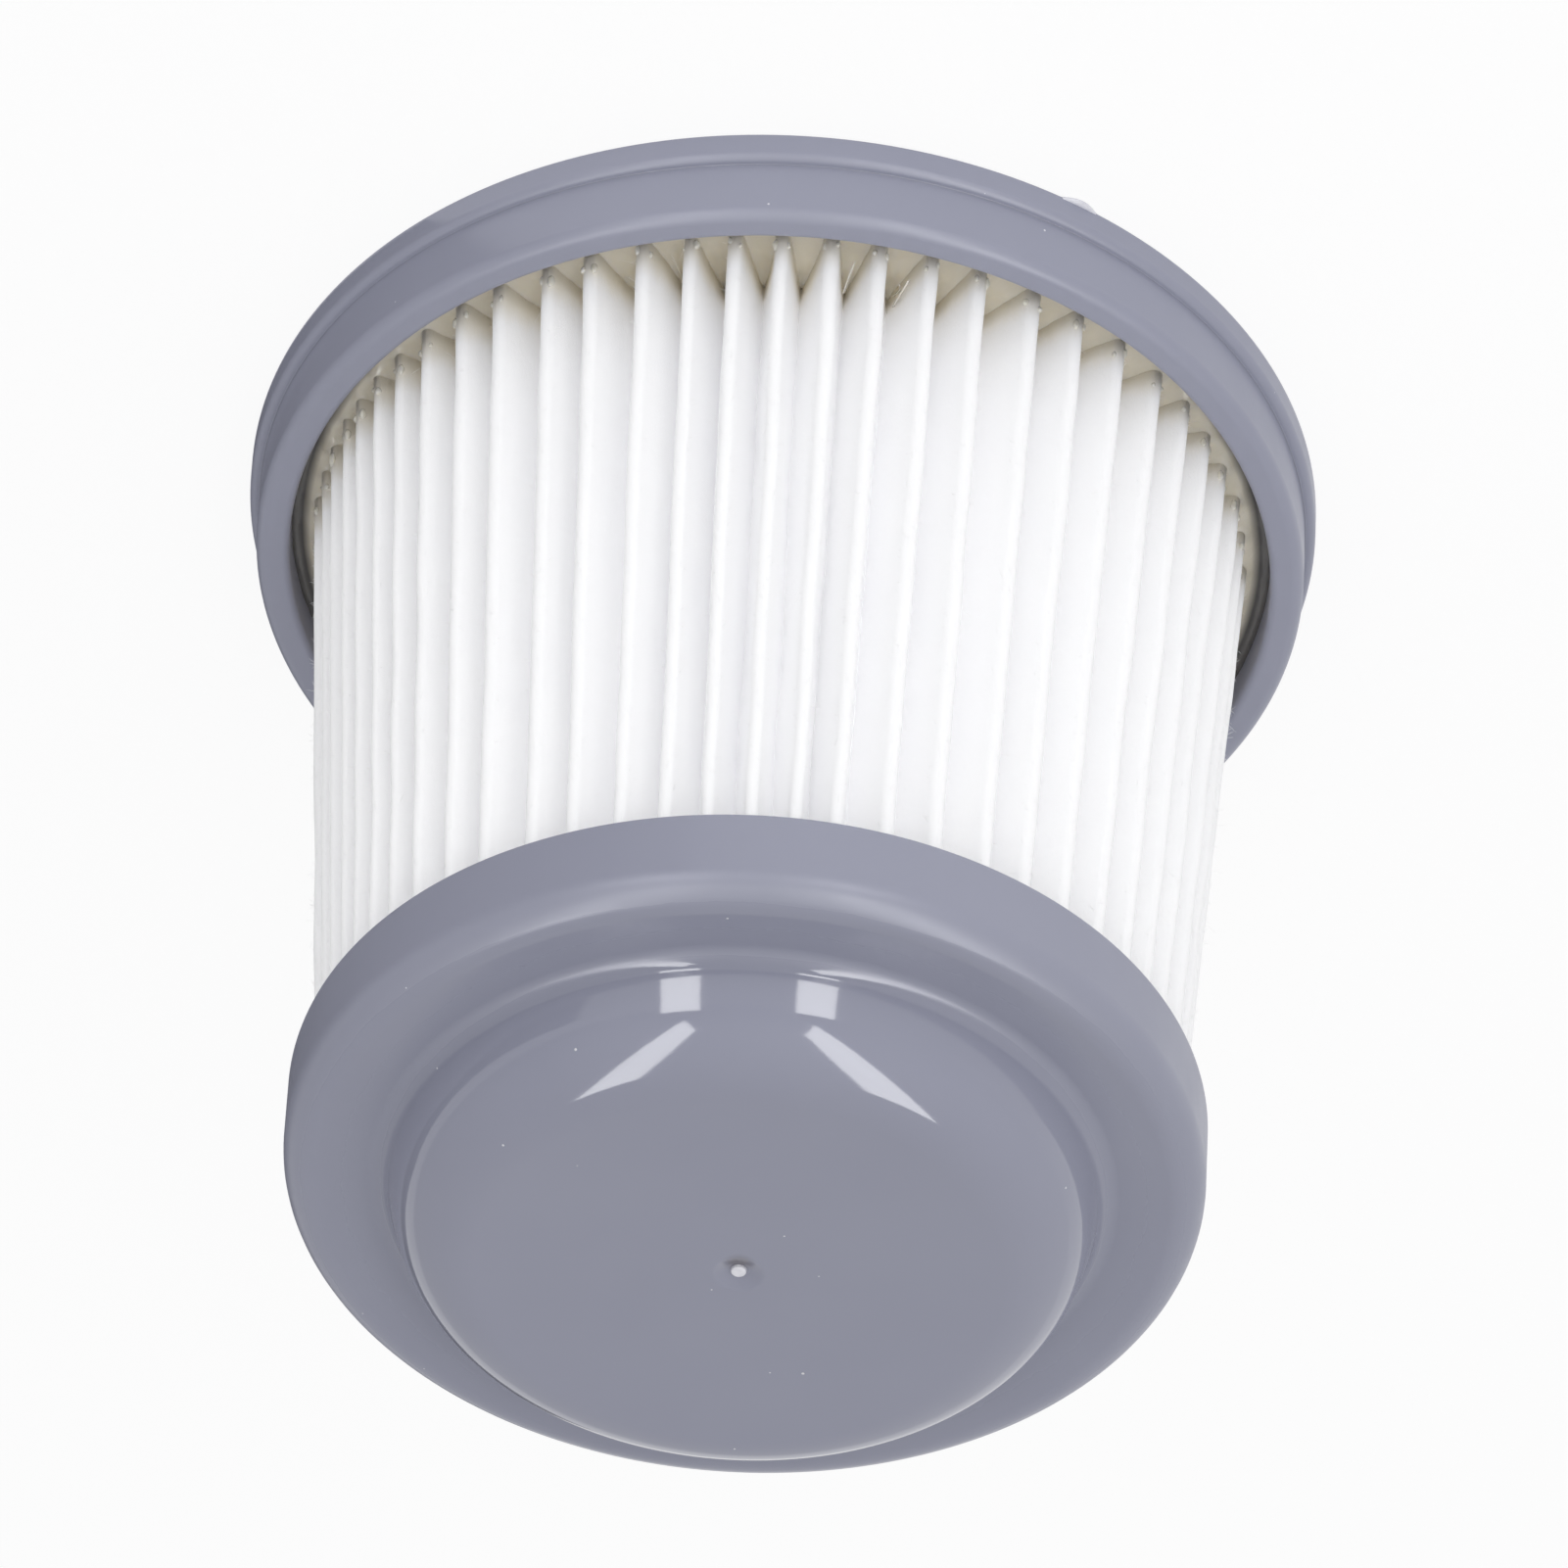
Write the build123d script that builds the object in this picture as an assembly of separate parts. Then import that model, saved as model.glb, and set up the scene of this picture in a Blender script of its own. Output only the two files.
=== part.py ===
"""Cartridge filter for a handheld vacuum cleaner, standing on its open flange with the domed end cap up.

A pleated cone of white nonwoven sheet is potted between two moulded pieces: an open flange ring, which the
cleaned air leaves through, and a closed cap with a raised dome. The axis is Z and the flange stands on Z = 0.
"""
import math
import os

from build123d import *

# Whole filter, mm
FILTER_H = 95.8

# Flange ring: a seating lip, a wall above it and a trough for the potting
LIP_R = 51.0
LIP_H = 3.1
LIP_STEP = 1.0
FLANGE_H = 9.6
RIM_W = 3.2
RIM_OUTER_EDGE = 0.8
RIM_INNER_EDGE = 0.6
TROUGH_FLOOR = 2.0
COLLAR_T = 1.6
COLLAR_H = 6.4

# End cap: a skirt set in from the lip, a flat land round the dome, and a shell of one wall thickness
CAP_SETBACK = 8.5
CAP_WALL = 1.8
SKIRT_H = 9.6
CAP_ROUND = 3.0
ROUND_BEVELS = 3
LAND_W = 11.1
DOME_H = 9.2
DOME_DRAFT = 17.5
DOME_SHOULDER = 5.7
DOME_ROOT = 1.2

# Pleated media: one sheet folded to and fro, with tight creases
PLEATS = 60
PLEAT_DEPTH = 8.8
MEDIA_T = 0.6
FOLD_FACETS = 2
RIM_TIP_GAP = 2.0
SKIRT_TIP_GAP = 0.45
COLLAR_PLEAT_GAP = 0.7

# Potting: hot-melt beds that hold the two ends of the media
FLANGE_POTTING_H = 3.4
CAP_POTTING_H = 3.2
CAP_POTTING_LEDGE = 1.2

# Levels along the axis
potting_top = TROUGH_FLOOR + FLANGE_POTTING_H
land_z = FILTER_H - DOME_H
land_underside = land_z - CAP_WALL
skirt_edge = land_z - SKIRT_H
cap_potting_face = land_underside - CAP_POTTING_H
dome_ceiling = FILTER_H - CAP_WALL

# Radii at the flange, from the lip in to the outlet
wall_r = LIP_R - LIP_STEP
trough_r = wall_r - RIM_W
tip_r = trough_r - RIM_TIP_GAP
pleat_inner_r = tip_r - PLEAT_DEPTH
collar_r = pleat_inner_r - COLLAR_PLEAT_GAP
outlet_r = collar_r - COLLAR_T

# Radii at the cap; the dome's are at the foot of its drafted wall, which is one wall thick straight across
cap_r = LIP_R - CAP_SETBACK
skirt_inner_r = cap_r - CAP_WALL
dome_r = cap_r - LAND_W
dome_inner_r = dome_r - CAP_WALL * math.tan(math.radians(45 - DOME_DRAFT / 2))
draft_run = DOME_H * math.tan(math.radians(DOME_DRAFT))

# The cone of the pleat tips starts inside the rim and clears the skirt's open edge
media_h = cap_potting_face - potting_top
tip_slope = (skirt_inner_r - SKIRT_TIP_GAP - tip_r) / (skirt_edge - potting_top)
top_scale = 1 + tip_slope * media_h / tip_r

# Crease circles of the folds at the media's foot: tips crease inside the sheet, valleys outside it
pleat_angle = 360 / PLEATS
valley_crease_r = pleat_inner_r + MEDIA_T
tip_crease_r = tip_r - MEDIA_T


def ease(operation, profile, corners):
    """Fillet or chamfer the corners of a flat profile that lie at the given points."""
    for point, amount in corners:
        corner = profile.vertices().sort_by_distance(point)[0]
        profile = operation(corner, amount)
    return profile


def turned(profile):
    """Turn a profile, drawn as radius and height, about the filter's axis."""
    return revolve(Plane.XZ * profile, Axis.Z)


def ring(inner_r, outer_r, low, high):
    """A plain ring between two radii and two levels."""
    centre = (inner_r + outer_r) / 2, (low + high) / 2
    return turned(Pos(*centre) * Rectangle(outer_r - inner_r, high - low))


def flange_ring():
    """The open end: lip, wall with an eased rim, trough floor and the collar round the outlet."""
    outline = Polyline(
        (outlet_r, 0),
        (LIP_R, 0),
        (LIP_R, LIP_H),
        (wall_r, LIP_H),
        (wall_r, FLANGE_H),
        (trough_r, FLANGE_H),
        (trough_r, TROUGH_FLOOR),
        (collar_r, TROUGH_FLOOR),
        (collar_r, COLLAR_H),
        (outlet_r, COLLAR_H),
        close=True,
    )
    edges = [((wall_r, FLANGE_H), RIM_OUTER_EDGE), ((trough_r, FLANGE_H), RIM_INNER_EDGE)]
    return turned(ease(chamfer, make_face(outline), edges))


def round_edge():
    """The cap's round outer edge in a few flat bevels, from the land down to the skirt."""
    centre = Vector(cap_r - CAP_ROUND, land_z - CAP_ROUND)
    spoke = Vector(0, CAP_ROUND)
    return [centre + spoke.rotate(Axis.Z, -90 * k / ROUND_BEVELS) for k in range(ROUND_BEVELS + 1)]


def cap_section(radius, top, edge):
    """Half the cap's silhouette: a drafted dome of this radius and top, then the outer edge and the skirt."""
    outline = Polyline(
        (0, top),
        (radius - draft_run, top),
        (radius, edge[0].Y),
        *edge,
        (edge[-1].X, skirt_edge),
        (0, skirt_edge),
        close=True,
    )
    return make_face(outline)


def end_cap():
    """The closed end: a domed cover moulded as one shell."""
    outside = cap_section(dome_r, FILTER_H, round_edge())
    outside = ease(fillet, outside, [((dome_r - draft_run, FILTER_H), DOME_SHOULDER)])
    outside = ease(chamfer, outside, [((dome_r, land_z), DOME_ROOT)])
    inside = cap_section(dome_inner_r, dome_ceiling, [Vector(skirt_inner_r, land_underside)])
    # A flat bevel inside the round shoulder keeps the shell at least one wall thick
    half_corner = math.radians(45 + DOME_DRAFT / 2)
    bevel = (DOME_SHOULDER - CAP_WALL) * (1 / math.sin(half_corner) - 1) / math.cos(half_corner)
    inside = ease(chamfer, inside, [((dome_inner_r - draft_run, dome_ceiling), bevel)])
    return turned(outside - inside)


def polar(radius, angle):
    """A point in plan at an angle in degrees."""
    return Vector(radius, 0).rotate(Axis.Z, angle)


def sheet_side(fold_centre_r, crease_r, outward):
    """One side of the folded sheet in plan, closed round the axis.

    A fold on this side is an arc, in a few facets, of the sheet's thickness about the other side's crease, at
    fold_centre_r. Straight flanks join it to this side's own creases, at crease_r. The folds bulge away from
    the axis where outward is 1, and towards it where outward is -1.
    """
    centre = polar(fold_centre_r, 0)
    flank = polar(crease_r, pleat_angle / 2) - centre
    tangent_turn = math.degrees(math.acos(MEDIA_T / flank.length))
    fold_end = (flank.normalized() * MEDIA_T).rotate(Axis.Z, -outward * tangent_turn)
    sweep = 2 * fold_end.get_angle(Vector(outward, 0))
    first_fold = 0 if outward > 0 else pleat_angle / 2
    points = []
    for k in range(PLEATS):
        turn = first_fold + k * pleat_angle
        for facet in range(FOLD_FACETS + 1):
            back = outward * sweep * (1 - facet / FOLD_FACETS)
            points.append((centre + fold_end.rotate(Axis.Z, -back)).rotate(Axis.Z, turn))
        points.append(polar(crease_r, turn + pleat_angle / 2))
    return points


def raised(point, level):
    """A point of the media's plan at a level, drawn in towards the axis as the cone asks."""
    narrowing = 1 + (top_scale - 1) * (level - potting_top) / media_h
    return Vector(point.X * narrowing, point.Y * narrowing, level)


def pleated_media():
    """The filter sheet: flat panels between straight folds, which narrow evenly towards the cap."""
    outside = sheet_side(tip_crease_r, valley_crease_r, 1)
    inside = sheet_side(valley_crease_r, tip_crease_r, -1)
    low, high = potting_top, cap_potting_face
    faces = []
    for level in (low, high):
        outer, inner = (Wire.make_polygon([raised(p, level) for p in side]) for side in (outside, inside))
        faces.append(Face(outer, [inner]))
    for side in (outside, inside):
        for here, there in zip(side, side[1:] + side[:1]):
            panel = [raised(here, low), raised(there, low), raised(there, high), raised(here, high)]
            faces.append(Face(Wire.make_polygon(panel)))
    return Solid(Shell(faces))


def flange_potting():
    """The hot-melt bed in the foot of the flange's trough, which the media stands in."""
    return ring(collar_r, trough_r, TROUGH_FLOOR, potting_top)


def cap_potting():
    """The hot-melt bed under the cap's land, which the media's upper edge is set in."""
    inner_r = pleat_inner_r * top_scale - CAP_POTTING_LEDGE
    return ring(inner_r, skirt_inner_r, cap_potting_face, land_underside)


os.makedirs("parts", exist_ok=True)
export_step(flange_ring(), "parts/flange_ring.step")
export_step(flange_potting(), "parts/flange_potting.step")
export_step(pleated_media(), "parts/pleated_media.step")
export_step(cap_potting(), "parts/cap_potting.step")
export_step(end_cap(), "parts/end_cap.step")
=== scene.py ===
"""Looks of a cartridge filter for a handheld vacuum cleaner: grey moulded flange and cap, white pleated media.

Sizes are in millimetres, as on a drawing, and MM turns them into Blender's metres where a mesh is made. A
bearing is an angle round the axis, from the side that faces the camera (-Y) towards +X.
"""
import math
import random

import bmesh
import bpy
from mathutils import Matrix, Vector, kdtree, noise


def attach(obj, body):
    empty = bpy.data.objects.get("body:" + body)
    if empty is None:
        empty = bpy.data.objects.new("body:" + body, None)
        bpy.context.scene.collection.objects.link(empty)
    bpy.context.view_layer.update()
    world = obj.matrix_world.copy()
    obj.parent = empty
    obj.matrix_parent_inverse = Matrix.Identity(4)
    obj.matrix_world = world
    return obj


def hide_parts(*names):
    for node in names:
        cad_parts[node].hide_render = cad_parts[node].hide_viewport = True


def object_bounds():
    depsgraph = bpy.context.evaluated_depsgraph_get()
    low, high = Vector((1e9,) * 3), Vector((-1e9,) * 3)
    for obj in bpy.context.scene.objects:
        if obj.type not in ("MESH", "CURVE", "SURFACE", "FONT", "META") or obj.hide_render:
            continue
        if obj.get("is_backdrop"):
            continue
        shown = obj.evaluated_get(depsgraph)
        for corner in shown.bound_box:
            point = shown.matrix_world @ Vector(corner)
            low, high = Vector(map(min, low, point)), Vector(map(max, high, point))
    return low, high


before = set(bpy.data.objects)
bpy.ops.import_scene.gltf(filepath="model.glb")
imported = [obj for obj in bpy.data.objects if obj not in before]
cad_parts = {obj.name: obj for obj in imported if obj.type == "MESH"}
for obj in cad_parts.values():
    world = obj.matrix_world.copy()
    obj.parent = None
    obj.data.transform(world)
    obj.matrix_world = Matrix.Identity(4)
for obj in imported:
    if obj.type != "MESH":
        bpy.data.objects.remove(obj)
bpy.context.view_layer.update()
MM = 0.001


# Flange ring: the open end, injection-moulded in grey ABS. A seating lip runs round the foot, the wall
# rises to a rounded rim, and behind it a trough takes the potting, closed on the inside by the collar round
# the outlet.

LIP_R = 51.0
LIP_H = 3.1
WALL_R = 50.0
FLANGE_H = 9.6
TROUGH_R = 46.8
TROUGH_FLOOR = 2.0
COLLAR_R = 35.3
COLLAR_H = 6.4
OUTLET_R = 33.7
EDGE_ROUND = 0.3
LIP_ROUND = 0.8
RIM_OUTER_ROUND = 1.2
RIM_INNER_ROUND = 0.8
# Heights between which the satin of the moulding gives way to the dome's polish
SATIN_TO = 85.9
POLISH_FROM = 86.5
# Middle of the painted shade and dirt on the near side of the gate's dish, and how far they spread
SHADE_AND_DIRT_AT = (0, -1.3, 95.4)
SHADE_AND_DIRT_DARK = 0.5
SHADE_AND_DIRT_END = 1.9


def rounded(corners):
    """Points of an outline of radius and height. Each corner comes with the radius of its round, 0 for none."""
    points = []
    for k, (radius, height, size) in enumerate(corners):
        here = Vector((radius, height))
        if size == 0:
            points.append(here)
            continue
        back = (Vector(corners[k - 1][:2]) - here).normalized()
        ahead = (Vector(corners[(k + 1) % len(corners)][:2]) - here).normalized()
        half_angle = back.angle(ahead) / 2
        centre = here + (back + ahead).normalized() * (size / math.sin(half_angle))
        start = here + back * (size / math.tan(half_angle)) - centre
        sweep = start.angle_signed(here + ahead * (size / math.tan(half_angle)) - centre)
        steps = max(3, round(math.degrees(abs(sweep)) / 9))
        points += [centre + Matrix.Rotation(-sweep * s / steps, 2) @ start for s in range(steps + 1)]
    return points


def out_at(bearing):
    """Unit vector in plan at a bearing in degrees."""
    return Vector((math.sin(math.radians(bearing)), -math.cos(math.radians(bearing))))


def mesh_of(shape, name):
    """Turn a filled bmesh into a named mesh."""
    bmesh.ops.recalc_face_normals(shape, faces=shape.faces)
    mesh = bpy.data.meshes.new(name)
    shape.to_mesh(mesh)
    shape.free()
    return mesh


def turned(name, outline, sides=240):
    """Mesh of a closed outline of radius and height, turned about the filter's axis."""
    shape = bmesh.new()
    loops = []
    for s in range(sides):
        across = out_at(360 * s / sides)
        loops.append([shape.verts.new(Vector((*(across * p.x), p.y)) * MM) for p in outline])
    for here, there in zip(loops, loops[1:] + loops[:1]):
        for k in range(len(outline)):
            shape.faces.new((here[k - 1], here[k], there[k], there[k - 1]))
    bmesh.ops.remove_doubles(shape, verts=shape.verts, dist=1e-7)
    return mesh_of(shape, name)


def piece(mesh, material, node=None):
    """Put a mesh into the scene as a piece of the filter, standing for a CAD node where one is named."""
    made = bpy.data.objects.new(mesh.name, mesh)
    bpy.context.scene.collection.objects.link(made)
    mesh.materials.append(material)
    mesh.shade_smooth()
    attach(made, "root")
    if node:
        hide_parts(node)
    return made


def srgb(code):
    """Linear colour of an sRGB hex code."""
    parts = [int(code[k:k + 2], 16) / 255 for k in (1, 3, 5)]
    return (*[c / 12.92 if c <= 0.04045 else ((c + 0.055) / 1.055) ** 2.4 for c in parts], 1)


def add(tree, kind, sockets, **settings):
    """Add a shader node. A socket's value is a number, a colour, or the output of another node."""
    made = tree.nodes.new(kind)
    for name, value in settings.items():
        setattr(made, name, value)
    for name, value in sockets.items():
        if isinstance(value, bpy.types.NodeSocket):
            tree.links.new(value, made.inputs[name])
        else:
            made.inputs[name].default_value = value
    return made


def per(size):
    """Texture scale that makes a pattern repeat about every so many millimetres."""
    return 1000 / size


def moulded_abs():
    """Grey ABS, moulded: cool, a little cloudy and satin, but glossy on the dome, from a polished tool.

    The cloudiness keeps broad faces from looking painted, the satin spreads the lamps into soft bands, and a
    faint ripple bends what the dome mirrors. A few specks of dust lie on it, and painted shade with some dirt
    darkens the near side of the gate's dish.
    """
    material = bpy.data.materials.new("abs_satin_moulded")
    material.use_nodes = True
    tree = material.node_tree
    shader = tree.nodes["Principled BSDF"]
    place = add(tree, "ShaderNodeTexCoord", {}).outputs["Object"]

    clouds = add(tree, "ShaderNodeTexNoise", {"Vector": place, "Scale": per(16), "Detail": 4})
    body = add(tree, "ShaderNodeMix", {0: clouds.outputs["Fac"], 6: srgb("#8f91a2"), 7: srgb("#9597a7")},
               data_type="RGBA")
    dust = add(tree, "ShaderNodeTexVoronoi", {"Vector": place, "Scale": per(3.2)})
    grain = add(tree, "ShaderNodeSeparateColor", {"Color": dust.outputs["Color"]})
    reach = add(tree, "ShaderNodeMapRange", {"Value": grain.outputs["Red"], "From Min": 0.45, "From Max": 1.0,
                                             "To Min": 0.0, "To Max": 0.05})
    speck = add(tree, "ShaderNodeMath", {0: dust.outputs["Distance"], 1: reach.outputs["Result"]},
                operation="LESS_THAN")
    colour = add(tree, "ShaderNodeMix", {0: speck.outputs["Value"], 6: body.outputs[2], 7: srgb("#d6d5da")},
                 data_type="RGBA")
    # Painted shade, with some dirt, darkens the near side of the gate's dish
    by_gate = add(tree, "ShaderNodeVectorMath", {0: place, 1: Vector(SHADE_AND_DIRT_AT) * MM}, operation="DISTANCE")
    shade_and_dirt = add(tree, "ShaderNodeMapRange", {"Value": by_gate.outputs["Value"], "From Min": SHADE_AND_DIRT_END * MM,
                                             "From Max": SHADE_AND_DIRT_DARK * MM, "To Min": 0.0, "To Max": 0.6},
                interpolation_type="SMOOTHSTEP")
    shaded_and_soiled = add(tree, "ShaderNodeMix", {0: shade_and_dirt.outputs["Result"], 6: colour.outputs[2], 7: srgb("#5c5654")},
                 data_type="RGBA")
    tree.links.new(shaded_and_soiled.outputs[2], shader.inputs["Base Color"])

    height = add(tree, "ShaderNodeSeparateXYZ", {"Vector": place})
    haze = add(tree, "ShaderNodeTexNoise", {"Vector": place, "Scale": per(5), "Detail": 5, "Roughness": 0.65})
    satin = add(tree, "ShaderNodeMapRange", {"Value": haze.outputs["Fac"], "From Min": 0.3, "From Max": 0.7,
                                             "To Min": 0.34, "To Max": 0.42})
    finish = add(tree, "ShaderNodeMapRange", {"Value": height.outputs["Z"], "From Min": SATIN_TO * MM,
                                              "From Max": POLISH_FROM * MM, "To Min": satin.outputs["Result"],
                                              "To Max": 0.07})
    tree.links.new(finish.outputs["Result"], shader.inputs["Roughness"])
    ripple = add(tree, "ShaderNodeTexNoise", {"Vector": place, "Scale": per(2.5), "Detail": 2})
    bump = add(tree, "ShaderNodeBump", {"Height": ripple.outputs["Fac"], "Strength": 1.0,
                                        "Distance": 0.004 * MM})
    tree.links.new(bump.outputs["Normal"], shader.inputs["Normal"])
    return material


flange_outline = rounded([
    (OUTLET_R, 0, EDGE_ROUND),
    (LIP_R, 0, EDGE_ROUND),
    (LIP_R, LIP_H, LIP_ROUND),
    (WALL_R, LIP_H, 0),
    (WALL_R, FLANGE_H, RIM_OUTER_ROUND),
    (TROUGH_R, FLANGE_H, RIM_INNER_ROUND),
    (TROUGH_R, TROUGH_FLOOR, EDGE_ROUND),
    (COLLAR_R, TROUGH_FLOOR, EDGE_ROUND),
    (COLLAR_R, COLLAR_H, EDGE_ROUND),
    (OUTLET_R, COLLAR_H, EDGE_ROUND),
])
grey_abs = moulded_abs()
flange = piece(turned("flange_ring_moulding", flange_outline), grey_abs, "flange_ring")
flange.modifiers.new("flat_faces_stay_flat", "WEIGHTED_NORMAL")


# Flash: a thin sliver of the same ABS at the lip's foot, where it was squeezed out between the halves of
# the tool. It is so thin that it looks whitish, and it is one with the lip.

FLASH_BEARING = -30.7
FLASH_SPAN = 4.6
FLASH_PROUD = 0.6
FLASH_END_DEPTH = 0.1
FLASH_ROOT_DEPTH = 0.4
FLASH_LOW = 0.1
FLASH_HIGH = 0.35
FLASH_STEPS = 12


def torn_abs():
    """ABS whitened where it was drawn thin or torn off: pale, dry and slightly rough."""
    material = bpy.data.materials.new("abs_whitened_torn")
    material.use_nodes = True
    tree = material.node_tree
    shader = tree.nodes["Principled BSDF"]
    place = add(tree, "ShaderNodeTexCoord", {}).outputs["Object"]
    tears = add(tree, "ShaderNodeTexNoise", {"Vector": place, "Scale": per(0.5), "Detail": 4})
    colour = add(tree, "ShaderNodeMix", {0: tears.outputs["Fac"], 6: srgb("#cfcfd8"), 7: srgb("#f2f2f7")},
                 data_type="RGBA")
    tree.links.new(colour.outputs[2], shader.inputs["Base Color"])
    shader.inputs["Roughness"].default_value = 0.5
    bump = add(tree, "ShaderNodeBump", {"Height": tears.outputs["Fac"], "Strength": 0.6, "Distance": 0.05 * MM})
    tree.links.new(bump.outputs["Normal"], shader.inputs["Normal"])
    return material


def flash_sliver():
    """A crescent that stands out from the lip, rooted inside it."""
    shape = bmesh.new()
    sections = []
    for s in range(FLASH_STEPS + 1):
        share = s / FLASH_STEPS
        across = out_at(FLASH_BEARING + FLASH_SPAN * (share - 0.5))
        root = LIP_R - FLASH_ROOT_DEPTH
        tip = LIP_R - FLASH_END_DEPTH + (FLASH_PROUD + FLASH_END_DEPTH) * math.sin(math.pi * share)
        corners = ((root, FLASH_LOW), (tip, FLASH_LOW), (tip, FLASH_HIGH), (root, FLASH_HIGH))
        sections.append([shape.verts.new(Vector((*(across * r), z)) * MM) for r, z in corners])
    for here, there in zip(sections, sections[1:]):
        for k in range(4):
            shape.faces.new((here[k - 1], here[k], there[k], there[k - 1]))
    shape.faces.new(sections[0])
    shape.faces.new(sections[-1])
    return mesh_of(shape, "lip_flash_sliver")


whitened_abs = torn_abs()
piece(flash_sliver(), whitened_abs)


# Pleated media: one strip of white spun polyester, folded to and fro into sixty pleats and closed to a ring
# that narrows towards the cap. Folding by machine left the pleats uneven: they crowd, lean and bow a
# little.

PLEATS = 60
PLEAT_TURN = 360 / PLEATS
MEDIA_T = 0.6
MEDIA_LOW = 5.4
MEDIA_HIGH = 81.6
MEDIA_H = MEDIA_HIGH - MEDIA_LOW
TIP_R = 44.8
PLEAT_INNER_R = 36.0
TOP_SCALE = 0.892
VALLEY_BEND = 0.34
TIP_SHARE = 0.155
FOLD_POINTS = 9
FLANK_POINTS = 3
MEDIA_LEVELS = 28
# How far the folds stray from even spacing: waves round the ring as times round, degrees and phase
SPACING_SHIFT = -3.3
SPACING_WAVES = [(2, 3.4, 44), (4, 1.3, -125), (6, 0.85, -36)]
# The most that a pleat leans and its tip strays, in degrees, that a tip falls back and that a flank bows
MOST_LEAN = 0.7
MOST_STRAY = 0.35
MOST_RECESS = 0.3
MOST_BOW = 0.22
# The felt's own puckers: their size and about how far apart they are
PUCKER = 0.16
PUCKER_APART = 9
# How the hot-melt soaks into the foot: from all through to not at all, higher at the tips than in the valleys
SOAKED_TO = 4.4
SOAK_END = 8.0
SOAK_TIP_RISE = 2.0
SOAK_STREAK = 1.8

uneven = random.Random(60)
noise.seed_set(60)
pleat_lean = [uneven.uniform(-MOST_LEAN, MOST_LEAN) for _ in range(PLEATS)]
tip_shift = [uneven.uniform(-MOST_STRAY, MOST_STRAY) for _ in range(PLEATS)]
tip_recess = [uneven.uniform(0, MOST_RECESS) for _ in range(PLEATS)]
flank_bow = [uneven.uniform(-MOST_BOW, MOST_BOW) for _ in range(2 * PLEATS)]


def valley_bearing(k, rise):
    """Bearing of a valley at a share of the media's height."""
    turn = k * PLEAT_TURN
    stray = sum(size * math.cos(math.radians(times * turn - phase)) for times, size, phase in SPACING_WAVES)
    return turn + SPACING_SHIFT + stray + pleat_lean[k % PLEATS] * (rise - 0.5)


def fold_circles(rise):
    """Circles that the sheet's middle bends round, valley and tip in turn, as centre, bearing and radius."""
    narrowing = 1 + (TOP_SCALE - 1) * rise
    circles = []
    for k in range(PLEATS):
        valley, following = valley_bearing(k, rise), valley_bearing(k + 1, rise)
        valley_r = PLEAT_INNER_R * narrowing + MEDIA_T / 2 + VALLEY_BEND
        tip = (valley + following) / 2 + tip_shift[k]
        tip_r = TIP_R * narrowing - tip_recess[k]
        tip_bend = TIP_SHARE * math.radians(following - valley) * tip_r - MEDIA_T / 2
        circles.append((out_at(valley) * valley_r, valley, VALLEY_BEND))
        circles.append((out_at(tip) * (tip_r - MEDIA_T / 2 - tip_bend), tip, tip_bend))
    return circles


def sheet_path(rise):
    """The sheet's middle line at a share of its height, as points in plan with normals to the dirty side."""
    circles = fold_circles(rise)
    normals = []
    for k, (centre, bearing, bend) in enumerate(circles):
        there, _, next_bend = circles[(k + 1) % len(circles)]
        run = there - centre
        along = (bend + next_bend) / run.length
        side = Vector((-run.y, run.x)).normalized()
        side *= math.copysign(1, side.dot(out_at(bearing + 90)))
        lean = run.normalized() * along + side * math.sqrt(1 - along ** 2)
        normals.append(lean if k % 2 else -lean)
    path = []
    for k, (centre, bearing, bend) in enumerate(circles):
        there, _, next_bend = circles[(k + 1) % len(circles)]
        bulge = 1 if k % 2 else -1
        middle = out_at(bearing)
        start = middle.angle_signed(normals[k - 1])
        end = middle.angle_signed(normals[k])
        for s in range(FOLD_POINTS):
            turn = start + (end - start) * s / (FOLD_POINTS - 1)
            normal = Matrix.Rotation(-turn, 2) @ middle
            path.append((centre + normal * (bulge * bend), normal))
        flank_start = centre + normals[k] * (bulge * bend)
        flank_end = there - normals[k] * (bulge * next_bend)
        for s in range(1, FLANK_POINTS + 1):
            share = s / (FLANK_POINTS + 1)
            bow = flank_bow[k] * math.sin(math.pi * share)
            path.append((flank_start.lerp(flank_end, share) + normals[k] * bow, normals[k]))
    return path


def media_mesh(paths):
    """Closed mesh of the folded sheet: its dirty side, its clean side and the cut edges that join them."""
    shape = bmesh.new()
    dirty, clean = [], []
    for level, path in enumerate(paths):
        height = MEDIA_LOW + MEDIA_H * level / (MEDIA_LEVELS - 1)
        for side, rows in ((1, dirty), (-1, clean)):
            row = []
            for point, normal in path:
                spot = Vector((*(point + normal * (side * MEDIA_T / 2)), height))
                if 0 < level < MEDIA_LEVELS - 1:
                    spot += noise.noise_vector(spot / PUCKER_APART) * PUCKER
                row.append(shape.verts.new(spot * MM))
            rows.append(row)
    count = len(paths[0])
    for rows in (dirty, clean):
        for low, high in zip(rows, rows[1:]):
            for k in range(count):
                shape.faces.new((low[k - 1], low[k], high[k], high[k - 1]))
    for level in (0, -1):
        for k in range(count):
            shape.faces.new((dirty[level][k - 1], dirty[level][k], clean[level][k], clean[level][k - 1]))
    return mesh_of(shape, "pleated_media_sheet")


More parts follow.
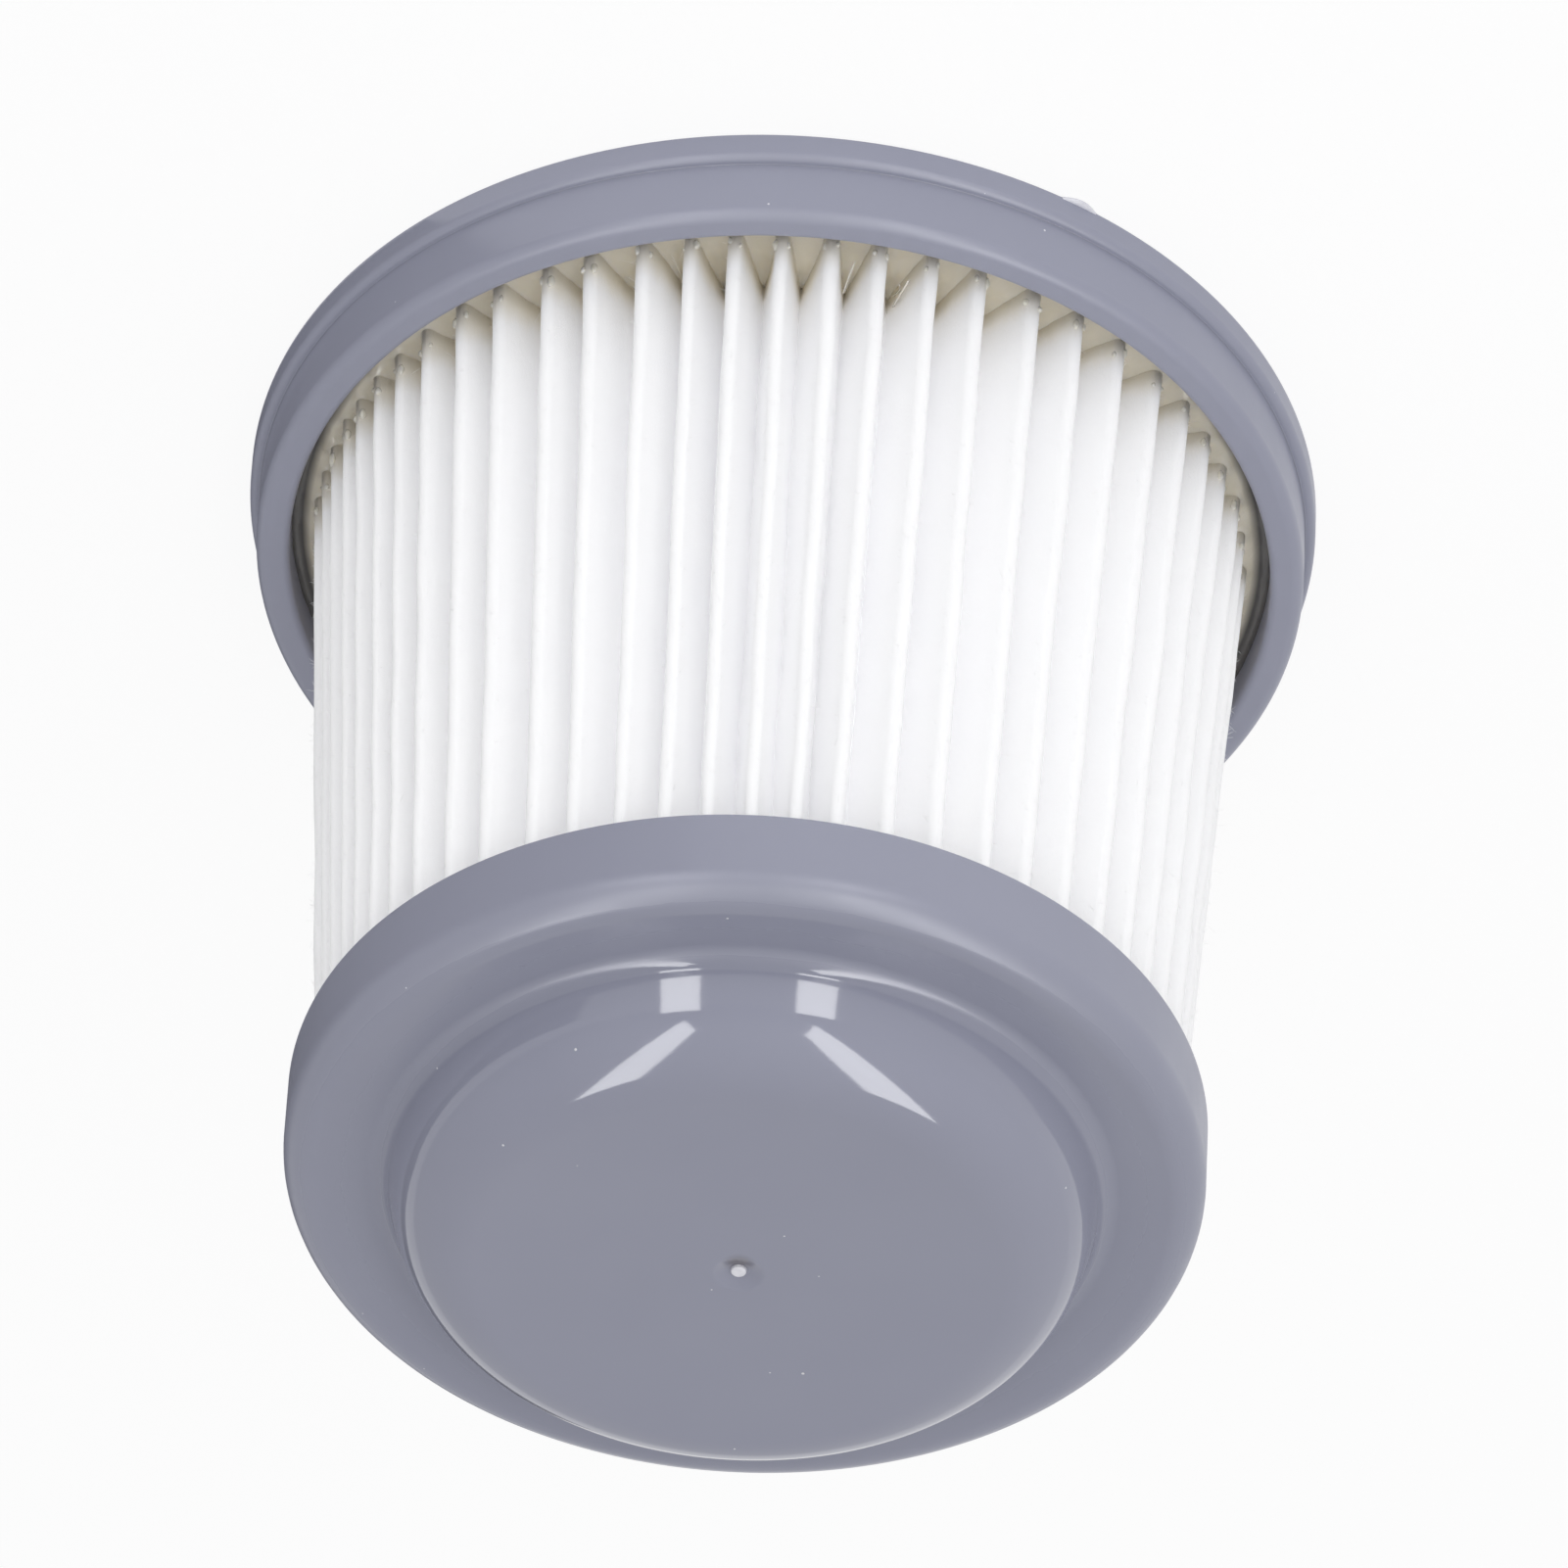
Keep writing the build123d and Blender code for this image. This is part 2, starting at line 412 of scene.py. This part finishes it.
def spun_polyester():
    """White spun polyester: matt, felted, a little clouded, and soaked with yellowish hot-melt at its foot.

    The fibres give the surface its soft tooth. They are drawn a third of a millimetre apart, coarser than they
    are, so that they show.
    """
    material = bpy.data.materials.new("polyester_spun_felted")
    material.use_nodes = True
    tree = material.node_tree
    shader = tree.nodes["Principled BSDF"]
    place = add(tree, "ShaderNodeTexCoord", {}).outputs["Object"]

    clouds = add(tree, "ShaderNodeTexNoise", {"Vector": place, "Scale": per(6), "Detail": 5, "Roughness": 0.6})
    felt = add(tree, "ShaderNodeMix", {0: clouds.outputs["Fac"], 6: srgb("#fbfbfc"), 7: srgb("#fefefe")},
               data_type="RGBA")
    height = add(tree, "ShaderNodeSeparateXYZ", {"Vector": place})
    streaks = add(tree, "ShaderNodeMapping", {"Vector": place, "Scale": (1, 1, 0.25)})
    creep = add(tree, "ShaderNodeTexNoise", {"Vector": streaks.outputs["Vector"], "Scale": per(1.4),
                                             "Detail": 4})
    tilt = add(tree, "ShaderNodeMath", {0: height.outputs["X"], 1: -0.02, 2: height.outputs["Z"]},
               operation="MULTIPLY_ADD")
    climb = add(tree, "ShaderNodeMath", {0: creep.outputs["Fac"], 1: -SOAK_STREAK * MM,
                                         2: tilt.outputs["Value"]}, operation="MULTIPLY_ADD")
    plan = add(tree, "ShaderNodeMapping", {"Vector": place, "Scale": (1, 1, 0)})
    radius = add(tree, "ShaderNodeVectorMath", {0: plan.outputs["Vector"]}, operation="LENGTH")
    drawn_up = add(tree, "ShaderNodeMapRange", {"Value": radius.outputs["Value"],
                                                "From Min": PLEAT_INNER_R * MM, "From Max": TIP_R * MM,
                                                "To Min": 0.0, "To Max": SOAK_TIP_RISE * MM})
    reach = add(tree, "ShaderNodeMath", {0: climb.outputs["Value"], 1: drawn_up.outputs["Result"]},
                operation="SUBTRACT")
    soaked = add(tree, "ShaderNodeMapRange", {"Value": reach.outputs["Value"], "From Min": SOAK_END * MM,
                                              "From Max": SOAKED_TO * MM, "To Min": 0.0, "To Max": 1.0},
                 interpolation_type="SMOOTHSTEP")
    colour = add(tree, "ShaderNodeMix", {0: soaked.outputs["Result"], 6: felt.outputs[2], 7: srgb("#f0ebdf")},
                 data_type="RGBA")
    tree.links.new(colour.outputs[2], shader.inputs["Base Color"])
    finish = add(tree, "ShaderNodeMapRange", {"Value": soaked.outputs["Result"], "To Min": 0.95, "To Max": 0.5})
    tree.links.new(finish.outputs["Result"], shader.inputs["Roughness"])

    lengths = add(tree, "ShaderNodeMapping", {"Vector": place, "Scale": (1, 1, 0.35)})
    fibres = add(tree, "ShaderNodeTexNoise", {"Vector": lengths.outputs["Vector"], "Scale": per(0.35),
                                              "Detail": 6, "Roughness": 0.7, "Distortion": 0.8})
    bump = add(tree, "ShaderNodeBump", {"Height": fibres.outputs["Fac"], "Strength": 0.8,
                                        "Distance": 0.06 * MM})
    tree.links.new(bump.outputs["Normal"], shader.inputs["Normal"])
    return material


sheet_paths = [sheet_path(level / (MEDIA_LEVELS - 1)) for level in range(MEDIA_LEVELS)]
polyester = spun_polyester()
media = piece(media_mesh(sheet_paths), polyester, "pleated_media")


# Loose fibres: ends of the same polyester that stand off the felt on the folds' tips, where the sheet was
# bent hardest. Each is short and curled, and rooted in the sheet.

LOOSE_FIBRES = 5200
FIBRE_R = 0.016
FIBRE_SHORTEST = 0.25
FIBRE_LONGEST = 1.3


def strand(shape, points, radius):
    """Add a thin closed strand through some points: three-sided, of one thickness, with pointed ends."""
    rings = []
    for k in range(1, len(points) - 1):
        along = (points[k + 1] - points[k - 1]).normalized()
        across = along.orthogonal().normalized()
        spokes = [Matrix.Rotation(2 * math.pi * s / 3, 3, along) @ across * radius for s in range(3)]
        rings.append([shape.verts.new((points[k] + spoke) * MM) for spoke in spokes])
    first, last = (shape.verts.new(points[k] * MM) for k in (0, -1))
    for s in range(3):
        shape.faces.new((first, rings[0][s - 1], rings[0][s]))
        shape.faces.new((last, rings[-1][s], rings[-1][s - 1]))
        for low, high in zip(rings, rings[1:]):
            shape.faces.new((low[s - 1], high[s - 1], high[s], low[s]))


def loose_fibres():
    """Short curled fibres rooted in the dirty side of the folds' tips."""
    chance = random.Random(8)
    per_fold = FOLD_POINTS + FLANK_POINTS
    shape = bmesh.new()
    for _ in range(LOOSE_FIBRES):
        fold = 2 * chance.randrange(PLEATS) + 1
        spot = fold * per_fold + chance.randrange(FOLD_POINTS)
        rise = chance.uniform(0.02, 0.93)
        level = int(rise * (MEDIA_LEVELS - 1))
        share = rise * (MEDIA_LEVELS - 1) - level
        low, high = sheet_paths[level][spot], sheet_paths[level + 1][spot]
        normal = Vector((*low[1].lerp(high[1], share), 0)).normalized()
        root = Vector((*low[0].lerp(high[0], share), MEDIA_LOW + MEDIA_H * rise)) + normal * (MEDIA_T / 2)
        root += noise.noise_vector(root / PUCKER_APART) * PUCKER
        stray = Vector([chance.gauss(0, 0.8) for _ in range(3)])
        curl = Vector([chance.gauss(0, 0.5) for _ in range(3)])
        reach = min(FIBRE_SHORTEST + chance.expovariate(4.5), FIBRE_LONGEST)
        way = (normal + stray).normalized()
        if way.dot(normal) < 0.15:
            way = (way + normal * 0.5).normalized()
        points = [root + way * (reach * s) + curl * (reach * s * s * 0.5) for s in (-0.2, 0.2, 0.6, 1.0)]
        strand(shape, points, FIBRE_R)
    return mesh_of(shape, "media_loose_fibres")


fibres = piece(loose_fibres(), polyester)


# Flange potting: yellowish hot-melt poured into the trough, into which the pleats' foot was pressed. It
# climbs the sheet in a fillet, stands proud in drops by the tips, and sets glossy and half clear.

POTTING_GAP_Z = 5.2
POTTING_PLEAT_Z = 5.9
POTTING_SIDES = 900
POTTING_RINGS = 26
# Where shade is painted into the bed by the rim, for the deep gap between the trough's wall and the tips
RIM_SHADE_FROM = 45.0
RIM_SHADE_TO = 45.8
# How high the hot-melt creeps up the sheet, the trough's wall and the collar, and how high its lumps are
SHEET_CREEP = 0.4
WALL_CREEP = 0.5
COLLAR_CREEP = 0.4
POTTING_LUMPS = 0.2


def hot_melt(name, deep, pale, rim_shade_colour):
    """Set hot-melt adhesive: glossy, half clear and slightly lumpy, with painted shade by the rim."""
    material = bpy.data.materials.new(name)
    material.use_nodes = True
    tree = material.node_tree
    shader = tree.nodes["Principled BSDF"]
    place = add(tree, "ShaderNodeTexCoord", {}).outputs["Object"]
    clouds = add(tree, "ShaderNodeTexNoise", {"Vector": place, "Scale": per(4), "Detail": 4})
    body = add(tree, "ShaderNodeMix", {0: clouds.outputs["Fac"], 6: srgb(deep), 7: srgb(pale)},
               data_type="RGBA")
    plan = add(tree, "ShaderNodeMapping", {"Vector": place, "Scale": (1, 1, 0)})
    radius = add(tree, "ShaderNodeVectorMath", {0: plan.outputs["Vector"]}, operation="LENGTH")
    # Painted shade: the bed goes dark grey towards the rim
    thin = add(tree, "ShaderNodeMapRange", {"Value": radius.outputs["Value"], "From Min": RIM_SHADE_FROM * MM,
                                            "From Max": RIM_SHADE_TO * MM})
    colour = add(tree, "ShaderNodeMix", {0: thin.outputs["Result"], 6: body.outputs[2], 7: srgb(rim_shade_colour)},
                 data_type="RGBA")
    tree.links.new(colour.outputs[2], shader.inputs["Base Color"])
    shader.inputs["Roughness"].default_value = 0.22
    shader.inputs["Subsurface Weight"].default_value = 0.35
    shader.inputs["Subsurface Radius"].default_value = (1.0, 0.85, 0.55)
    shader.inputs["Subsurface Scale"].default_value = 1.5 * MM
    lumps = add(tree, "ShaderNodeTexNoise", {"Vector": place, "Scale": per(1.2), "Detail": 2})
    bump = add(tree, "ShaderNodeBump", {"Height": lumps.outputs["Fac"], "Strength": 0.7, "Distance": 0.15 * MM})
    tree.links.new(bump.outputs["Normal"], shader.inputs["Normal"])
    return material


def share_of(value, whole):
    """How far a value has come from nothing to the whole, from 0 to 1."""
    return min(max(value / whole, 0), 1)


def potting_mesh():
    """The bed of hot-melt: a poured surface that rises to the sheet and the walls, over a flat foot."""
    foot = [point for point, normal in sheet_paths[0]]
    dense = [a.lerp(b, s / 6) for a, b in zip(foot, foot[1:] + foot[:1]) for s in range(6)]
    plan = kdtree.KDTree(len(dense))
    for k, point in enumerate(dense):
        plan.insert((*point, 0), k)
    plan.balance()
    underside = [(TROUGH_R, TROUGH_FLOOR), (COLLAR_R, TROUGH_FLOOR)]
    shape = bmesh.new()
    loops = []
    for s in range(POTTING_SIDES):
        across = out_at(360 * s / POTTING_SIDES)
        loop = []
        for k in range(POTTING_RINGS):
            radius = COLLAR_R + (TROUGH_R - COLLAR_R) * k / (POTTING_RINGS - 1)
            spot = Vector((*(across * radius), 0))
            clear = max(plan.find(spot)[2] - MEDIA_T / 2, 0)
            from_wall, from_collar = TROUGH_R - radius, radius - COLLAR_R
            within = share_of(from_wall - 0.4, 1.8) * share_of(from_collar - 0.2, 1.5)
            level = POTTING_GAP_Z + (POTTING_PLEAT_Z - POTTING_GAP_Z) * within * within * (3 - 2 * within)
            fillet = SHEET_CREEP * math.exp(-clear / 0.5)
            edges = WALL_CREEP * math.exp(-from_wall / 0.35) + COLLAR_CREEP * math.exp(-from_collar / 0.3)
            lumps = POTTING_LUMPS * (noise.noise(spot / 2.4) + noise.noise(spot / 9))
            loop.append((radius, level + fillet + edges + lumps))
        loops.append([shape.verts.new(Vector((*(across * r), z)) * MM) for r, z in loop + underside])
    for here, there in zip(loops, loops[1:] + loops[:1]):
        for k in range(len(here)):
            shape.faces.new((here[k - 1], here[k], there[k], there[k - 1]))
    return mesh_of(shape, "flange_potting_bed")


# Painted shade: the bed turns dark grey by the rim, in the deep gap between the trough's wall and the tips
glue = hot_melt("hot_melt_poured", "#d9d2c1", "#e5dfd0", "#6a6866")
piece(potting_mesh(), glue, "flange_potting")


# Glue drops and strings: where the pleats went in, the hot-melt was pushed up beside each tip in cream
# drops, and it drew thin strings from one pleat to the next as the nozzle left.

DROP_LEVEL = 8.0
STRING_R = 0.07
STRINGS = 44
STRING_LOW = 6.8
STRING_HIGH = 9.0
# The longest strings, as bearing, outer and inner radius
LONG_STRINGS = ((-7.0, 44.0, 38.8), (-14.2, 43.0, 38.3), (-22.2, 43.6, 39.0))
LONG_STRING_Z = 8.8
LONG_STRING_BOW = Vector((0.12, 0, 0.3))


def glue_drops():
    """Two drops beside each tip, between it and the rim."""
    chance = random.Random(21)
    shape = bmesh.new()
    rise = (DROP_LEVEL - MEDIA_LOW) / MEDIA_H
    for centre, bearing, bend in fold_circles(rise)[1::2]:
        for side in (-1, 1):
            size = chance.uniform(0.18, 0.36)
            around = bearing + side * chance.uniform(30, 75)
            spot = centre + out_at(around) * (bend + MEDIA_T / 2)
            place = Vector((*spot, DROP_LEVEL + chance.uniform(-0.7, 0.4)))
            stretch = Matrix.Diagonal((size, size, size * chance.uniform(1.2, 2.2), 1))
            turn = Matrix.Rotation(chance.uniform(-0.5, 0.5), 4, "X")
            made = bmesh.ops.create_icosphere(shape, subdivisions=3, radius=1.0)["verts"]
            for vert in made:
                vert.co = place + turn @ stretch @ (vert.co * (1 + 0.22 * noise.noise(vert.co * 1.4 + place)))
                vert.co *= MM
    return mesh_of(shape, "glue_drops_by_tips")


def glue_strings():
    """Drawn strings in the folds, near the rim, with the few longest in their own places."""
    chance = random.Random(5)
    shape = bmesh.new()
    for _ in range(STRINGS):
        level = chance.uniform(STRING_LOW, STRING_HIGH)
        valley, bearing, _ = fold_circles((level - MEDIA_LOW) / MEDIA_H)[2 * chance.randrange(PLEATS)]
        here = Vector((*(valley + out_at(bearing) * chance.uniform(4.5, 7)), level))
        there = Vector((*(valley + out_at(bearing) * chance.uniform(1.5, 4)), level - chance.uniform(0, 0.9)))
        sag = Vector([chance.uniform(-0.5, 0.5) for _ in range(3)])
        points = [here.lerp(there, s / 7) + sag * math.sin(math.pi * s / 7) for s in range(8)]
        strand(shape, points, STRING_R * chance.uniform(0.6, 1.3))
    for bearing, outer, inner in LONG_STRINGS:
        here = Vector((*(out_at(bearing) * outer), LONG_STRING_Z))
        there = Vector((*(out_at(bearing + 0.5) * inner), LONG_STRING_Z - 0.3))
        points = [here.lerp(there, s / 9) + LONG_STRING_BOW * math.sin(math.pi * s / 9) for s in range(10)]
        strand(shape, points, STRING_R * 2)
    return mesh_of(shape, "glue_drawn_strings")


# The drops and strings get no painted shade by the rim: its colour is their pale one
cream_glue = hot_melt("hot_melt_thin", "#ddd7c6", "#eeeade", "#eeeade")
piece(glue_drops(), cream_glue)
piece(glue_strings(), cream_glue)


# Cap potting: the bed of hot-melt under the cap's land that seals the media's upper edge. Only the open end
# shows it, so its turned shape stands as it is.

cap_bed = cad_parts["cap_potting"]
cap_bed.data.materials.clear()
cap_bed.data.materials.append(glue)


# End cap: the closed end, moulded like the flange but with a polished dome. Its gate was cut off in a small
# dish at the dome's centre, which left a whitened stub.

CAP_R = 42.5
CAP_WALL = 1.8
CAP_FOOT = 77.0
LAND_Z = 86.6
ROOT_Z = 85.6
DOME_R = 33.05
DOME_Z = 95.8
DOME_DRAFT_RUN = 2.73
DOME_SHOULDER = 7.9
DOME_ROOT = 1.9
DOME_WALL = 1.4
LAND_RISE = 0.2
CAP_ROUND = 3.0
GATE_R = 2.3
GATE_DEPTH = 0.6
GATE_FLOOR_Z = DOME_Z - GATE_DEPTH
STUB_R = 0.68
STUB_H = 0.35
STUB_ROOT = 0.2

cap_outline = rounded([
    (0, GATE_FLOOR_Z, 0),
    (STUB_R + 0.4, GATE_FLOOR_Z, 0.3),
    (GATE_R, DOME_Z, 0.9),
    (DOME_R - DOME_DRAFT_RUN, DOME_Z, DOME_SHOULDER),
    (DOME_R, ROOT_Z, DOME_ROOT),
    (CAP_R, LAND_Z + LAND_RISE, CAP_ROUND),
    (CAP_R, CAP_FOOT, EDGE_ROUND),
    (CAP_R - CAP_WALL, CAP_FOOT, EDGE_ROUND),
    (CAP_R - CAP_WALL, LAND_Z - CAP_WALL, 0.5),
    (DOME_R - DOME_WALL, LAND_Z - CAP_WALL, 0.4),
    (DOME_R - DOME_WALL - DOME_DRAFT_RUN, DOME_Z - CAP_WALL, DOME_SHOULDER - CAP_WALL),
    (0, DOME_Z - CAP_WALL, 0),
])
cap = piece(turned("end_cap_moulding", cap_outline), grey_abs, "end_cap")
cap.modifiers.new("flat_faces_stay_flat", "WEIGHTED_NORMAL")

stub_outline = rounded([
    (0, GATE_FLOOR_Z + STUB_H, 0),
    (STUB_R, GATE_FLOOR_Z + STUB_H, 0.1),
    (STUB_R + 0.1, GATE_FLOOR_Z - STUB_ROOT, 0),
    (0, GATE_FLOOR_Z - STUB_ROOT, 0),
])
piece(turned("gate_stub_cut", stub_outline, 48), whitened_abs)


# Studio: a floor of white paper under a white sky that is a little brighter on the photograph's right, four
# lamps whose reflections show in the dome, a grey card that darkens the left of the plastic, and two soft
# lamps.

PANEL_RADIANCE = 8

bpy.ops.mesh.primitive_plane_add(size=8)
floor = bpy.context.object
floor.name = "studio_floor"
floor_paper = bpy.data.materials.new("paper_white_studio")
floor_paper.use_nodes = True
tree = floor_paper.node_tree
paper = tree.nodes["Principled BSDF"]
paper.inputs["Base Color"].default_value = srgb("#f4f4f6")
paper.inputs["Roughness"].default_value = 0.9
ray = add(tree, "ShaderNodeLightPath", {})
white = add(tree, "ShaderNodeEmission", {"Color": (1, 1, 1, 1), "Strength": 1.0})
seen = add(tree, "ShaderNodeMath", {0: ray.outputs["Is Camera Ray"], 1: ray.outputs["Is Glossy Ray"]},
           operation="MAXIMUM")
seen = add(tree, "ShaderNodeMath", {0: seen.outputs["Value"], 1: ray.outputs["Is Transmission Ray"]},
           operation="MAXIMUM")
share = add(tree, "ShaderNodeMath", {0: seen.outputs["Value"], 1: 0.9}, operation="MULTIPLY")
mixed = add(tree, "ShaderNodeMixShader", {0: share.outputs["Value"], 1: paper.outputs["BSDF"],
                                          2: white.outputs["Emission"]})
tree.links.new(mixed.outputs["Shader"], tree.nodes["Material Output"].inputs["Surface"])
floor.data.materials.append(floor_paper)
floor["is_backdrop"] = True

world = bpy.data.worlds.new("studio_sky")
bpy.context.scene.world = world
world.use_nodes = True
tree = world.node_tree
way = add(tree, "ShaderNodeTexCoord", {})
way = add(tree, "ShaderNodeSeparateXYZ", {"Vector": way.outputs["Generated"]})
level = add(tree, "ShaderNodeMapRange", {"Value": way.outputs["X"], "From Min": -0.9, "From Max": 0.9,
                                         "To Min": 0.86, "To Max": 0.60})
sky = tree.nodes["Background"]
sky.inputs["Color"].default_value = (1, 1, 1, 1)
tree.links.new(level.outputs["Result"], sky.inputs["Strength"])


def lamp(name, centre, facing, up, size, radiance):
    """A rectangular lamp at a point, turned to face along a direction."""
    data = bpy.data.lights.new(name, "AREA")
    data.shape = "RECTANGLE"
    data.size, data.size_y = (side * MM for side in size)
    data.energy = radiance * math.pi * data.size * data.size_y
    made = bpy.data.objects.new(name, data)
    bpy.context.scene.collection.objects.link(made)
    back = -Vector(facing).normalized()
    right = Vector(up).cross(back).normalized()
    made.matrix_world = Matrix((right, back.cross(right), back)).transposed().to_4x4()
    made.location = Vector(centre) * MM
    return made


# Low panels, seen in the dome's wall and the foot of its shoulder, and leaning strips, seen in the shoulder
panels = [lamp("panel_left", (154, -400, 63), (0, 1, 0), (0, 0, 1), (90, 122), PANEL_RADIANCE),
          lamp("panel_right", (-127, -400, 56), (0, 1, 0), (0, 0, 1), (88, 106), PANEL_RADIANCE)]
for name, x, low, high, width in (("strip_left", 390, (-1114, 612), (101, 1140), 430),
                                  ("strip_right", -390, (-1258, 623), (29, 973), 470)):
    low, high = Vector((x, *low)), Vector((x, *high))
    size = (width, (high - low).length)
    panels.append(lamp(name, (low + high) / 2, (-x, 0, 0), high - low, size, PANEL_RADIANCE))
for panel in panels:
    panel.visible_camera = False
    panel.visible_diffuse = False

# A dark grey card flat on the floor at the left, which only the plastic mirrors, so that this side looks
# darker
bpy.ops.mesh.primitive_plane_add(size=1)
flag = bpy.context.object
flag.name = "studio_grey_card"
flag.dimensions = (0.42, 0.6, 0)
flag.location = (0.245, 0, 0.0005)
flag.visible_camera = False
flag.visible_diffuse = False
flag.visible_shadow = False
card = bpy.data.materials.new("card_dark_grey_matt")
card.use_nodes = True
card.node_tree.nodes["Principled BSDF"].inputs["Base Color"].default_value = srgb("#2c2c30")
card.node_tree.nodes["Principled BSDF"].inputs["Roughness"].default_value = 0.95
flag.data.materials.append(card)
flag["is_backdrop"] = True

# Soft lamps that leave no highlight: a broad one beside the camera and a small one low before the flange
front = lamp("softbox_front", (-150, -950, 850), (150, 950, -810), (0, 0, 1), (800, 500), 2.2)
low_front = lamp("softbox_low", (0, -190, 60), (0, 1, -0.36), (0, 0, 1), (220, 50), 0.9)
for soft in (front, low_front):
    soft.visible_camera = False
    soft.visible_glossy = False


# Camera: a long lens, above and in front of the filter. The photograph shows the filter upside down, so the
# camera is rolled by half a turn.

FOCUS_PX = 15000
PHOTO_PX = 1601
CAMERA_AT = (0, -1037.3, 951.5)
CAMERA_YAW = -0.088
CAMERA_PITCH = -41.44
CAMERA_ROLL = 183.28

view = bpy.data.cameras.new("photo_camera")
view.lens = view.sensor_width * FOCUS_PX / PHOTO_PX
view.clip_end = 20
camera = bpy.data.objects.new("photo_camera", view)
bpy.context.scene.collection.objects.link(camera)
camera.matrix_world = (
    Matrix.Translation(Vector(CAMERA_AT) * MM)
    @ Matrix.Rotation(math.radians(-CAMERA_YAW), 4, "Z")
    @ Matrix.Rotation(math.radians(90 + CAMERA_PITCH), 4, "X")
    @ Matrix.Rotation(math.radians(CAMERA_ROLL), 4, "Z")
)
bpy.context.scene.camera = camera
bpy.context.scene.view_settings.view_transform = "Standard"
# White felt hands light on from flank to flank many times
bpy.context.scene.cycles.max_bounces = 20
bpy.context.scene.cycles.diffuse_bounces = 16

low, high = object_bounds()
